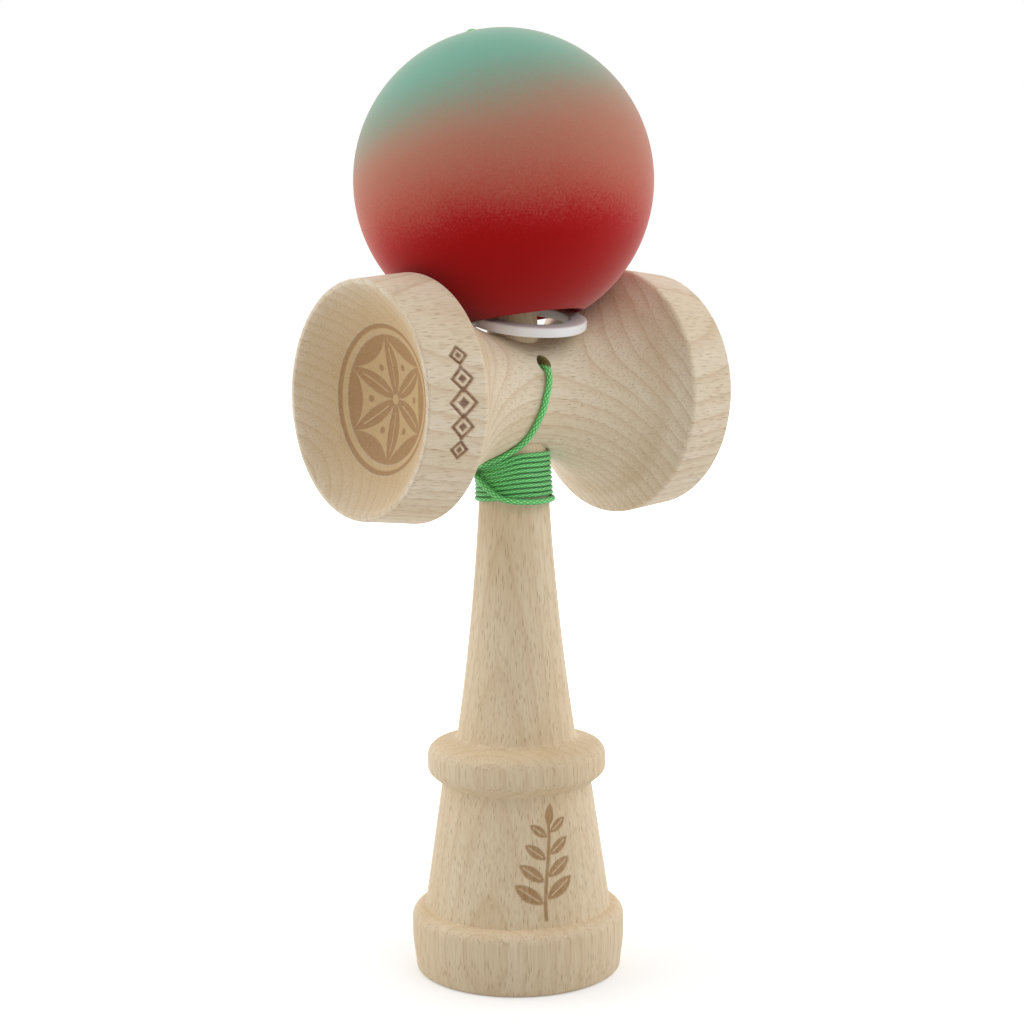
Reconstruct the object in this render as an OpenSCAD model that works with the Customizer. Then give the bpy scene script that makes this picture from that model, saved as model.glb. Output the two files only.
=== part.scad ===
// Kendama: a turned handle with a cross piece of two cups, a bored ball resting on the spike,
// a loose ring under the ball, and one cord from the cross piece, wound on the handle, to the ball.
// The handle stands on its base rim. Its axis is Z, and the cross piece lies along X.

/* [Handle] */
// Length of the handle, from the base rim to the tip of the spike
ken_l = 166; // [158:0.5:180]
// Diameter of the base rim at its widest
base_d = 43.4; // [41:0.1:47]
// Diameter of the base where it stands
foot_d = 41.8; // [39.6:0.1:42.4]
// Height of the base rim
base_h = 13; // [11:0.1:16]
// Diameter at the foot of the base cone
cone_foot_d = 37.9; // [35:0.1:38.6]
// Diameter of the neck under the collar
neck_d = 30.5; // [27:0.1:33]
// Height of the underside of the collar
collar_z = 38.6; // [34:0.1:42]
// Height of the collar
collar_h = 9; // [7:0.1:11]
// Diameter of the collar
collar_d = 36.4; // [34.6:0.1:40]
// Diameter of the shaft where it meets the collar
shaft_foot_d = 24.4; // [22:0.1:28]
// Diameter of the shaft at the lower end of its straight taper
shaft_top_d = 14.4; // [13:0.1:16]
// Height of the lower end of the straight taper
shaft_top_z = 95; // [85:0.5:98]
// Diameter of the spike where it leaves the cross piece
spike_root_d = 10.3; // [9:0.1:11]
// Diameter of the rounded tip of the spike
spike_tip_d = 3.4; // [2.4:0.1:4.4]

/* [Cross piece] */
// Height of the cross piece's axis above the base
cross_z = 117.5; // [115:0.5:122]
// Diameter of the waist
waist_d = 23.2; // [21.5:0.1:25]
// Distance of the big cup's lip from the handle's axis
big_lip_x = 37.5; // [35:0.1:41]
// Diameter of the big cup over its lip
big_lip_d = 48.7; // [46:0.1:51]
// Distance of the big cup's edge, where the flare ends
big_edge_x = 26; // [24:0.1:28]
// Diameter of the big cup over that edge
big_edge_d = 51; // [48:0.1:53]
// Distance of the small cup's lip from the handle's axis
small_lip_x = 37.9; // [35:0.1:41]
// Diameter of the small cup over its lip
small_lip_d = 45.7; // [43:0.1:48]
// Distance of the small cup's edge, where the flare ends
small_edge_x = 25.5; // [24:0.1:28]
// Diameter of the small cup over that edge
small_edge_d = 48.4; // [45:0.1:50]
// Radius of the three dishes, a little over that of the ball
dish_r = 31; // [29:0.1:36]
// Width of the lip round each dish
lip_w = 1; // [0.8:0.1:1.6]

/* [Ball] */
// Diameter of the ball
ball_d = 60; // [58:0.5:63]
// Diameter of the bevelled mouth
mouth_d = 24.8; // [24:0.1:26]
// Diameter of the bore
bore_d = 23; // [22.6:0.1:23.8]
// Depth of the bevel
bevel_h = 2; // [1.5:0.1:3]
// Depth of the bore beyond the ball's centre
bore_h = 18.5; // [17.5:0.1:20]
// Lean of the ball away from upright
ball_lean = 8.2; // [6:0.1:9]
// Compass direction of that lean, from X towards Y
ball_lean_dir = 112.7; // [100:0.1:125]

/* [Ring] */
// Outer diameter of the loose ring
ring_d = 23.2; // [22.4:0.1:23.6]
// Hole of the loose ring
ring_hole_d = 16.8; // [16.4:0.1:17.6]
// Thickness of the loose ring
ring_t = 2; // [1.6:0.1:2.2]
// Forward pitch of the ring as it lies
ring_pitch = 13; // [10:0.1:13.2]

/* [Cord] */
// Diameter of the cord where it runs free
cord_d = 1.2; // [1:0.05:1.4]
// Diameter of the cord where it is wound, drawn tight
turn_d = 0.56; // [0.4:0.01:0.58]
// Step of the winding
turn_pitch = 1; // [1:0.01:1.1]
// Number of turns
turns = 9.5; // [6.5:1:9.5]
// Rise of the turns from their mean level at the front
turn_slant = 1.5; // [1:0.1:1.6]
// Diameter of the hole for the cord in the cross piece
cord_hole_d = 3.2; // [2.6:0.1:3.6]
// Height of that hole above the cross piece's axis
cord_hole_rise = 6.4; // [5.5:0.1:7]
// Diameter of the bead that holds the cord in the ball
bead_d = 9; // [7.5:0.1:11]
// Height of the bead
bead_h = 6.5; // [5.5:0.1:7]

/* [Hidden] */
$fn = 96;

wood = [0.84, 0.73, 0.58];
cord_green = [0.22, 0.72, 0.24];
paint_red = [0.62, 0.09, 0.10];
ring_white = [0.94, 0.94, 0.93];
bead_wood = [0.80, 0.66, 0.47];

// Fits, rounds and small details
overrun = 1;
seat_clear = 0.05;
skin_clear = 0.3;
ring_clear = 0.16;
foot_round = 0.8;
belly_share = 0.5;
belly_round = 12;
shoulder_round = 2.4;
collar_low_share = 0.32;
collar_low_round = 2.4;
collar_top_round = 3.2;
collar_fall = 0.4;
shaft_round = 1.4;
edge_round = 1.2;
lip_round = 0.4;
ring_round = 0.45;
knot_strand_d = 1.3;
knot_turns = 3;
knot_lap_share = 0.75;
knot_h = knot_strand_d + (knot_turns - 1) * knot_strand_d * knot_lap_share;
bead_round = 2;
bead_hole_d = 2.4;
ken_hole_d = 3;
cord_drop = 0.5;
pocket_d = 5.4;
pocket_floor_y = 1.2;
ball_hole_d = 4;
ball_sink_d = 7.2;
ball_sink_h = 1.6;
spike_belly_share = 0.62;
curve_steps = 16;
corner_steps = 6;

// Places that follow from the sizes above
ball_r = ball_d / 2;
waist_r = waist_d / 2;
cord_r = cord_d / 2;
turn_r = turn_d / 2;
ring_r = ring_d / 2;
collar_top_z = collar_z + collar_h;
spike_root_z = cross_z + waist_r;
cord_hole_z = cross_z + cord_hole_rise;
cord_z = cord_hole_z - cord_drop;
mouth_h = sqrt(pow(ball_r, 2) - pow(mouth_d / 2, 2));
bead_low_h = bore_h - skin_clear - bead_h;
knot_top_h = bead_low_h - skin_clear;
knot_low_h = knot_top_h - knot_h;
big_flare_r = flare_r(big_edge_x, big_edge_d);
small_flare_r = flare_r(small_edge_x, small_edge_d);

// The ring has slid forward and to the big cup's side until its hole meets the spike
ring_slip = ring_hole_d / 2 - spike_root_d / 2 - skin_clear;
ring_slip_dir = -51.3;
ring_x = ring_slip * cos(ring_slip_dir);
ring_y = ring_slip * sin(ring_slip_dir);
ring_rise_big = rise(big_flare_r, ring_x + ring_r);
ring_rise_small = rise(small_flare_r, ring_r - ring_x);
ring_roll = -atan((ring_rise_big - ring_rise_small) / ring_d);
ring_z = spike_root_z + (ring_rise_big + ring_rise_small) / 2 + ring_t / 2 + ring_clear;

// The ball rests on what it meets first: the ring, a cup or, at its knot, the tip of the spike
ball_x = 0.2;
ball_y = 2.6;
ball_on_ring_z = ring_z + mouth_h;
ball_on_big_z = over_edge(big_edge_x - ball_x, big_edge_d);
ball_on_small_z = over_edge(small_edge_x + ball_x, small_edge_d);
ball_on_tip_z = ken_l + skin_clear - knot_low_h * cos(ball_lean);
ball_z = max(ball_on_ring_z, ball_on_big_z, ball_on_small_z, ball_on_tip_z);

// The winding, clockwise from above, begins at the left of the front
turn_start = -0.5;
turn_zero_dir = -39;
turn_high_dir = -80;
turn_rings = 24;
turn_sides = 6;
turn_drop = 2;
turn_top_z = cross_z - waist_r - turn_drop;
turn_count = floor(turns * turn_rings);
cord_sides = 8;
cord_run = 2.4;

// The cord's route: out of its hole, down the front of the cross piece and in to the handle
lead_route = [[0, -8, cord_z], [0, -9.4, cord_z], [0, -11.3, 123], [-0.2, -12.4, 121.4], [-0.6, -12.8, 119.3],
    [-1.6, -12.8, 116.4], [-3, -11.9, 112.6], [-4.3, -9.9, 109.2], [-5.6, -7.6, 106.8], [-7.1, -5.2, 105.1],
    [-8.4, -1.6, 104]];
// From the last turn across the front, round behind and up between the cups to the back of the ball
riser_route = [[2.4, -8.5, 95.4], [-3, -8.6, 96.3], [-7.3, -5.3, 98.4], [-9, 0, 100.6], [-7.3, 5.2, 102.8],
    [-3.4, 8.8, 105.4], [-1.4, 11.4, 109.2], [-0.5, 13, 114], [0, 14, 120], [0.3, 15.9, 127],
    [0.5, 19.6, 133.2], [0.8, 26.6, 139.8], [1, 31.5, 147.2], [1, 33.5, 154], [1, 33.8, 158.8]];
// The back of the ball, where the riser meets the crown
crown_foot = [1, 33.8, 160];
// Over the back of the ball
crown_route = [[1, 33.8, 161.2], [0.8, 33.4, 167], [0.4, 31.6, 172.6], [0, 28.4, 178.2], [-0.4, 23.6, 183.6],
    [-0.8, 17.6, 187.8]];
// Into the hole at the top, on the ball's own axes
crown_dip_route = [[0, 7, 30.4], [0, 3.6, 31], [0, 1.2, 29.4], [0, 0, 27]];
crown_end = [0, 0, 25.8];

function unit(v) = v / norm(v);
function spot(p) = [p[0], p[1]];

// Radius of the arc from the waist to a cup's edge, level at the waist
function flare_r(edge_x, edge_d) =
    (pow(edge_x, 2) + pow(edge_d / 2 - waist_r, 2)) / (edge_d - waist_d);
// Rise of that arc over the waist
function rise(arc_r, x) = arc_r - sqrt(pow(arc_r, 2) - pow(x, 2));
// Height of the ball's centre when it rests on a cup's edge
function over_edge(reach, edge_d) =
    cross_z + edge_d / 2 + sqrt(pow(ball_r + skin_clear, 2) - pow(reach, 2));
// Radius of the handle on its straight taper
function taper_r(z) =
    (shaft_top_d + (spike_root_d - shaft_top_d) * (z - shaft_top_z) / (spike_root_z - shaft_top_z)) / 2;

// Points of a quadratic curve, without its last one
function curve(a, b, c) =
    [for (i = [0 : curve_steps - 1]) let (t = i / curve_steps)
        pow(1 - t, 2) * a + 2 * t * (1 - t) * b + t * t * c];
// Points of the arc that rounds a corner of an outline
function corner(a, b, c, r) =
    let (
        u = unit(a - b),
        w = unit(c - b),
        half = acos(u * w) / 2,
        turn = 180 - 2 * half,
        centre = b + unit(u + w) * r / sin(half),
        from = b + u * r / tan(half) - centre,
        to = b + w * r / tan(half) - centre
    )
    [for (i = [0 : corner_steps]) let (s = i / corner_steps)
        centre + (from * sin((1 - s) * turn) + to * sin(s * turn)) / sin(turn)];
// An outline whose corners carry their rounding as a third value
function rounded(path) =
    [for (i = [0 : len(path) - 1])
        each path[i][2] > 0
            ? corner(spot(path[i - 1]), spot(path[i]), spot(path[i + 1]), path[i][2])
            : [spot(path[i])]];
function sharp(points) = [for (p = points) [p[0], p[1], 0]];

// A smooth line through route points, with rings between each two
function spline(points, rings) =
    let (n = len(points) - 1)
    [each [for (i = [0 : n - 1], k = [0 : rings - 1])
        let (
            t = k / rings,
            p0 = points[max(i - 1, 0)],
            p1 = points[i],
            p2 = points[i + 1],
            p3 = points[min(i + 2, n)]
        )
        (2 * p1 + (p2 - p0) * t + (2 * p0 - 5 * p1 + 4 * p2 - p3) * t * t
            + (3 * p1 - 3 * p2 + p3 - p0) * t * t * t) / 2],
        points[n]];
function heading(path, i) = unit(path[min(i + 1, len(path) - 1)] - path[max(i - 1, 0)]);
function level(v, along) = unit(v - (v * along) * along);

// A point of the winding, counted in turns
function wound(t) =
    let (
        dir = turn_zero_dir - 360 * t,
        z = turn_top_z - turn_pitch * t + turn_slant * cos(dir - turn_high_dir),
        r = taper_r(z) + skin_clear + turn_r
    )
    [r * cos(dir), r * sin(dir), z];
turn_path = [for (i = [0 : turn_count]) wound(turn_start + i / turn_rings)];
turn_in = unit(turn_path[1] - turn_path[0]);
turn_out = unit(turn_path[turn_count] - turn_path[turn_count - 1]);
winding_first = turn_path[0] - turn_in * turn_d;
winding_last = turn_path[turn_count] + turn_out * turn_d;
winding_path = [winding_first, each turn_path, winding_last];
winding_count = len(winding_path);
turn_gaps = [for (i = [0 : winding_count - 1], k = [i + turn_rings / 2 : winding_count - 1])
    norm(winding_path[k] - winding_path[i]) - turn_d];
echo(least_gap_of_the_winding = min(turn_gaps));

// The free cord lies out from the winding, so that both clear the handle alike
function outward(p, along) = level([p[0], p[1], 0], along) * (cord_r - turn_r);
lead_end = winding_first + outward(winding_first, turn_in);
riser_start = winding_last + outward(winding_last, turn_out);
lead_path = [each lead_route, lead_end - turn_in * cord_run, lead_end];
riser_path = [riser_start, each spline([riser_start + turn_out * cord_run, each riser_route], 2), crown_foot];
crown_path = [crown_foot, each spline([each crown_route, for (p = crown_dip_route) on_ball(p)], 2),
    on_ball(crown_end)];

// A point given on the ball's own axes, as it leans
function on_ball(p) =
    let (
        tip = [sin(ball_lean) * cos(ball_lean_dir), sin(ball_lean) * sin(ball_lean_dir), cos(ball_lean)],
        back = level([0, 1, 0], tip),
        side = cross(back, tip)
    )
    [ball_x, ball_y, ball_z] + side * p[0] + back * p[1] + tip * p[2];

// Curves of the shaft and of the spike
shaft_slope = (taper_r(shaft_top_z) - taper_r(spike_root_z)) / (spike_root_z - shaft_top_z);
shaft_half = (shaft_top_z - collar_top_z) / 2;
shaft_curve = curve([shaft_foot_d / 2, collar_top_z],
    [shaft_top_d / 2 + shaft_slope * shaft_half, shaft_top_z - shaft_half], [shaft_top_d / 2, shaft_top_z]);
tip_r = spike_tip_d / 2;
spike_curve = curve([spike_root_d / 2, spike_root_z],
    [spike_root_d / 2 * spike_belly_share + tip_r * (1 - spike_belly_share),
        spike_root_z + (ken_l - spike_root_z) * spike_belly_share], [tip_r, ken_l - tip_r]);
tip_arc = [for (i = [0 : corner_steps - 1]) let (a = 90 * i / corner_steps)
    [tip_r * cos(a), ken_l - tip_r + tip_r * sin(a)]];

// Outline of the handle, from the base up
ken_outline = rounded([
    [0, 0, 0],
    [foot_d / 2, 0, foot_round],
    [base_d / 2, base_h * belly_share, belly_round],
    [base_d / 2, base_h, shoulder_round],
    [cone_foot_d / 2, base_h, 0],
    [neck_d / 2, collar_z, 0],
    [collar_d / 2, collar_z + collar_h * collar_low_share, collar_low_round],
    [collar_d / 2, collar_top_z - collar_fall, collar_top_round],
    [shaft_foot_d / 2, collar_top_z, shaft_round],
    each sharp([for (i = [1 : curve_steps - 1]) shaft_curve[i]]),
    [shaft_top_d / 2, shaft_top_z, 0],
    each sharp(spike_curve),
    each sharp(tip_arc),
    [0, ken_l, 0]
]);

// Outline of the cross piece, from the small cup to the big one
function flare_points(edge_x, arc_r) =
    [for (i = [1 : curve_steps - 1]) let (x = edge_x * i / curve_steps) [waist_r + rise(arc_r, x), x]];
function mirrored(points) = [for (i = [len(points) - 1 : -1 : 0]) [points[i][0], -points[i][1]]];
sarado_outline = rounded([
    [0, -small_lip_x, 0],
    [small_lip_d / 2, -small_lip_x, lip_round],
    [small_edge_d / 2, -small_edge_x, edge_round],
    each sharp(mirrored(flare_points(small_edge_x, small_flare_r))),
    [waist_r, 0, 0],
    each sharp(flare_points(big_edge_x, big_flare_r)),
    [big_edge_d / 2, big_edge_x, edge_round],
    [big_lip_d / 2, big_lip_x, lip_round],
    [0, big_lip_x, 0]
]);

// Distance of a dish's centre beyond the lip
function dish_out(lip_d) = sqrt(pow(dish_r, 2) - pow(lip_d / 2 - lip_w, 2));

// A tube along a path, closed at both ends
module tube(path, r, sides) {
    count = len(path);
    lines = [for (i = [0 : count - 1]) heading(path, i)];
    aside = abs(lines[0].z) > abs(lines[0].x) ? [1, 0, 0] : [0, 0, 1];
    normals = [for (i = 0, n = level(aside, lines[0]); i < count;
        i = i + 1, n = level(n, lines[min(i, count - 1)])) n];
    points = [for (i = [0 : count - 1], k = [0 : sides - 1])
        let (a = 360 * k / sides)
        path[i] + r * (cos(a) * normals[i] + sin(a) * cross(lines[i], normals[i]))];
    walls = [for (i = [0 : count - 2], k = [0 : sides - 1])
        let (
            a = i * sides + k,
            b = i * sides + (k + 1) % sides
        )
        each [[a, a + sides, b + sides], [a, b + sides, b]]];
    first = [for (k = [1 : sides - 2]) [0, k, k + 1]];
    last_ring = (count - 1) * sides;
    last = [for (k = [1 : sides - 2]) [last_ring, last_ring + k + 1, last_ring + k]];
    polyhedron(points, [each walls, each first, each last]);
}

// Places a shape on the ball's own axes
module leaning() {
    translate([ball_x, ball_y, ball_z])
        rotate([0, ball_lean, ball_lean_dir])
            children();
}

// A knot of a few close turns round a core
module knot() {
    step = knot_strand_d * knot_lap_share;
    for (i = [0 : knot_turns - 1])
        translate([0, 0, knot_strand_d / 2 + i * step])
            rotate_extrude()
                translate([knot_strand_d / 2, 0])
                    circle(d = knot_strand_d);
    cylinder(d = knot_strand_d, h = knot_h);
}

module ken() {
    color(wood)
        difference() {
            rotate_extrude()
                polygon(ken_outline);
            translate([0, 0, -dish_out(foot_d - 2 * foot_round)])
                sphere(r = dish_r, $fn = 192);
            translate([0, 0, cord_hole_z])
                rotate([90, 0, 0])
                    cylinder(d = ken_hole_d, h = shaft_top_d, center = true);
            translate([0, pocket_floor_y, cord_hole_z])
                rotate([-90, 0, 0])
                    cylinder(d = pocket_d, h = shaft_top_d);
        }
}

module sarado() {
    hole_low = cross_z - waist_r - overrun;
    hole_high = cross_z + waist_r + overrun;
    color(wood)
        difference() {
            translate([0, 0, cross_z])
                rotate([0, 90, 0])
                    rotate_extrude()
                        polygon(sarado_outline);
            translate([big_lip_x + dish_out(big_lip_d), 0, cross_z])
                sphere(r = dish_r, $fn = 192);
            translate([-small_lip_x - dish_out(small_lip_d), 0, cross_z])
                sphere(r = dish_r, $fn = 192);
            translate([0, 0, hole_low])
                cylinder(r1 = taper_r(hole_low) + seat_clear, r2 = taper_r(hole_high) + seat_clear,
                    h = hole_high - hole_low);
            translate([0, 0, cord_hole_z])
                rotate([90, 0, 0])
                    cylinder(d = cord_hole_d, h = waist_d);
        }
}

module tama() {
    color(paint_red)
        leaning()
            difference() {
                sphere(r = ball_r, $fn = 192);
                translate([0, 0, -mouth_h])
                    cylinder(d = bore_d, h = mouth_h + bore_h);
                translate([0, 0, -ball_d])
                    cylinder(d = mouth_d, h = ball_d - mouth_h);
                translate([0, 0, -mouth_h])
                    cylinder(d1 = mouth_d, d2 = bore_d, h = bevel_h);
                cylinder(d = ball_hole_d, h = ball_d);
                translate([0, 0, ball_r - ball_sink_h])
                    cylinder(d1 = ball_hole_d, d2 = ball_hole_d + (ball_sink_d - ball_hole_d) * 2,
                        h = ball_sink_h * 2);
            }
}

module spacer_ring() {
    color(ring_white)
        translate([ring_x, ring_y, ring_z])
            rotate([ring_pitch, ring_roll, 0])
                rotate_extrude()
                    polygon(rounded([
                        [ring_hole_d / 2, 0, 0],
                        [ring_hole_d / 2, -ring_t / 2, ring_round],
                        [ring_d / 2, -ring_t / 2, ring_round],
                        [ring_d / 2, ring_t / 2, ring_round],
                        [ring_hole_d / 2, ring_t / 2, ring_round],
                        [ring_hole_d / 2, 0, 0]
                    ]));
}

module string_bead() {
    color(bead_wood)
        leaning()
            translate([0, 0, bead_low_h])
                rotate_extrude()
                    polygon(rounded([
                        [bead_hole_d / 2, 0, 0],
                        [bead_d / 2, 0, bead_round],
                        [bead_d / 2, bead_h, bead_round],
                        [bead_hole_d / 2, bead_h, 0]
                    ]));
}

module bead_knot() {
    color(cord_green)
        leaning()
            translate([0, 0, knot_low_h])
                knot();
}

module anchor_knot() {
    color(cord_green)
        translate([0, pocket_floor_y + skin_clear, cord_z])
            rotate([-90, 0, 0])
                knot();
}

module string_anchor() {
    color(cord_green)
        tube([[0, pocket_floor_y + skin_clear, cord_z], lead_route[0]], cord_r, cord_sides);
}

module string_lead() {
    color(cord_green)
        tube(lead_path, cord_r, cord_sides);
}

module string_winding() {
    color(cord_green)
        tube(winding_path, turn_r, turn_sides);
}

module string_riser() {
    color(cord_green)
        tube(riser_path, cord_r, cord_sides);
}

module string_crown() {
    color(cord_green)
        tube(crown_path, cord_r, cord_sides);
}

module string_tail() {
    color(cord_green)
        tube([on_ball(crown_end), on_ball([0, 0, knot_top_h])], cord_r, cord_sides);
}

ken();
sarado();
tama();
spacer_ring();
string_bead();
bead_knot();
anchor_knot();
string_anchor();
string_lead();
string_winding();
string_riser();
string_crown();
string_tail();
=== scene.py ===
import math

import bpy
import numpy as np
from mathutils import Matrix, Vector


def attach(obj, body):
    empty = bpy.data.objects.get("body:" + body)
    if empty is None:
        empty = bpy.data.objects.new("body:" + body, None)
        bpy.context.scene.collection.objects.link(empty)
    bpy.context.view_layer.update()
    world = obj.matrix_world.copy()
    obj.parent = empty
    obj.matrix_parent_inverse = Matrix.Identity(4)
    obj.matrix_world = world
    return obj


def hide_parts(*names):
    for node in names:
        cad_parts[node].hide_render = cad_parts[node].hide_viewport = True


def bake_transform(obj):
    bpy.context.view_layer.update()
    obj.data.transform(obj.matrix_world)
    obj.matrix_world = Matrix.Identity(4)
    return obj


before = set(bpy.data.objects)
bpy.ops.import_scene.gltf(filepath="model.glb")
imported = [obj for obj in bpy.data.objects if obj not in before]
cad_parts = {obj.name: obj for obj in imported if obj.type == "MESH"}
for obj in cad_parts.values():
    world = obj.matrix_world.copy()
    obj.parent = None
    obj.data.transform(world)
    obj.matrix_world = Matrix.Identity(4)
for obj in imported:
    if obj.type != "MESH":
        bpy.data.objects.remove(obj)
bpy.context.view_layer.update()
scene = bpy.context.scene
mm = 0.001  # lengths below are in millimetres, and the scene is in metres
print("frame loaded, with", len(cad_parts), "nodes")

# Camera

view = {
    "lens": 65.0,
    "sensor": 36.0,
    "nearest": 10.0,
    "eye": (-234.6, -288.9, 131.45),
    "target": (-0.35, 0.28, 93.79),
    "roll": -0.55,  # degrees
}


def makeCamera():
    data = bpy.data.cameras.new("camera")
    data.lens = view["lens"]
    data.sensor_width = view["sensor"]
    data.clip_start = view["nearest"] * mm
    eye, target = Vector(view["eye"]) * mm, Vector(view["target"]) * mm
    turn = (target - eye).to_track_quat("-Z", "Y").to_matrix().to_4x4()
    roll = Matrix.Rotation(math.radians(view["roll"]), 4, "Z")
    camera = bpy.data.objects.new("camera", data)
    camera.matrix_world = Matrix.Translation(eye) @ turn @ roll
    scene.collection.objects.link(camera)
    scene.camera = camera


makeCamera()
print("camera placed")

# The toy's sizes, which several pieces share

toy = {
    "crossZ": 117.5,  # height of the cross piece's axis
    "waistR": 11.6,
    "taperLow": (7.2, 95.0),  # radius and height on the handle's straight taper
    "taperHigh": (5.15, 129.1),
    "dishR": 31.0,
    "lipW": 1.0,
    "ballR": 30.0,
    "ballCentre": (0.2, 2.6, 159.856),
    "ballLean": 8.2,  # degrees from upright
    "ballLeanDir": 112.7,
    "boreTop": 18.5,  # above the ball's centre
}
ballTurn = (
    Matrix.Translation(Vector(toy["ballCentre"]))
    @ Matrix.Rotation(math.radians(toy["ballLeanDir"]), 4, "Z")
    @ Matrix.Rotation(math.radians(toy["ballLean"]), 4, "Y")
)


def taperRadius(z):
    (lowR, lowZ), (highR, highZ) = toy["taperLow"], toy["taperHigh"]
    return lowR + (highR - lowR) * (z - lowZ) / (highZ - lowZ)


def onBall(side, back, up):
    # the ball's own axes: back is level with Y, as near as its lean allows
    tip = (ballTurn.to_3x3() @ Vector((0, 0, 1))).normalized()
    rear = (Vector((0, 1, 0)) - tip * tip.y).normalized()
    return tuple(Vector(toy["ballCentre"]) + rear.cross(tip) * side + rear * back + tip * up)


def addPiece(name, verts, faces, smooth=True):
    mesh = bpy.data.meshes.new(name)
    mesh.from_pydata([tuple(v) for v in np.asarray(verts) * mm], [], faces)
    mesh.validate()
    if smooth:
        mesh.shade_smooth()
    piece = bpy.data.objects.new(name, mesh)
    scene.collection.objects.link(piece)
    return piece


def smoothStep(low, high, value):
    t = np.clip((value - low) / (high - low), 0, 1)
    return t * t * (3 - 2 * t)


# Materials

mixShare, mixUnder, mixOver = 0, 6, 7  # a Mix node's sockets for colours
mixLow, mixHigh = 2, 3  # and for plain numbers


def linear(hexCode):
    parts = [int(hexCode[i:i + 2], 16) / 255 for i in (1, 3, 5)]
    return tuple(c / 12.92 if c < 0.04045 else ((c + 0.055) / 1.055) ** 2.4 for c in parts) + (1.0,)


def grey(value):
    return (value, value, value, 1.0)


def fill(tree, node, sockets):
    # a socket takes a plain value, an output, or a node, which stands for its first output in use
    for name, value in sockets.items():
        if isinstance(value, bpy.types.Node):
            value = next(output for output in value.outputs if output.enabled)
        if isinstance(value, bpy.types.NodeSocket):
            tree.links.new(value, node.inputs[name])
        else:
            node.inputs[name].default_value = value


def addNode(tree, kind, sockets=None, stops=None, **settings):
    node = tree.nodes.new(kind)
    for name, value in settings.items():
        setattr(node, name, value)
    fill(tree, node, sockets or {})
    if stops:
        ramp = node.color_ramp.elements
        while len(ramp) < len(stops):
            ramp.new(1.0)
        for element, (place, colour) in zip(ramp, stops):
            element.position = place
            element.color = colour
    return node


def startMaterial(name):
    material = bpy.data.materials.new(name)
    material.use_nodes = True
    tree = material.node_tree
    return material, tree, tree.nodes["Principled BSDF"]


woodLook = {
    "pale": "#ecdec6",
    "deep": "#e3d2b4",
    "line": "#c9a87e",
    "fleck": "#98703f",
    "toasted": "#a0784a",
    "burnt": "#5f3316",
    "end": "#c4a26c",
    # sizes of the patterns, across and along the grain
    "waveSize": (16.0, 48.0),
    "fleckSize": (0.34, 5.4),
    "fibreSize": (0.35, 9.0),
    "toneSize": (9.0, 40.0),
    "scorchSize": (0.5, 1.6),
    # growth lines, with their darkness through one year
    "waveDepth": 2.2,
    "ringWidth": 2.6,
    "ringShare": 0.36,
    "ringTone": [(0.0, 0.25), (0.1, 0.0), (0.55, 0.12), (0.86, 0.5), (0.95, 1.0), (1.0, 0.25)],
    "toneSpan": (0.3, 0.7),
    # flecks, which fade out between these distances from a cell's middle and differ in strength
    "fleckEdge": (0.36, 0.16),
    "fleckChance": (0.05, 0.95),
    "fleckShare": 0.6,
    "fleckSink": -0.8,
    "fibreSpan": (0.45, 0.75),
    "fibreShare": 0.5,
    # end grain, by the cosine of the angle to the grain, out to a radius about the piece's axis
    "endFacing": (0.6, 0.95),
    "endShare": 0.88,
    "endReach": 30.0,
    "endFade": 1.4,
    "axisPoint": (0.0, 0.0, 0.0),
    # engraving
    "scorchSpan": (0.3, 0.7),
    "scorchLeast": 0.72,
    "burnFull": 0.55,
    "burnShare": 0.96,
    "burnSpan": (0.66, 0.95),
    "roughness": (0.52, 0.68),
    "reliefDepth": 0.04,
}
grainUp = {"grain": (0, 0, 0), "along": (0, 0, 1)}
grainAcross = {"grain": (0, -math.pi / 2, 0), "along": (1, 0, 0)}  # turns X to the grain's direction


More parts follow.
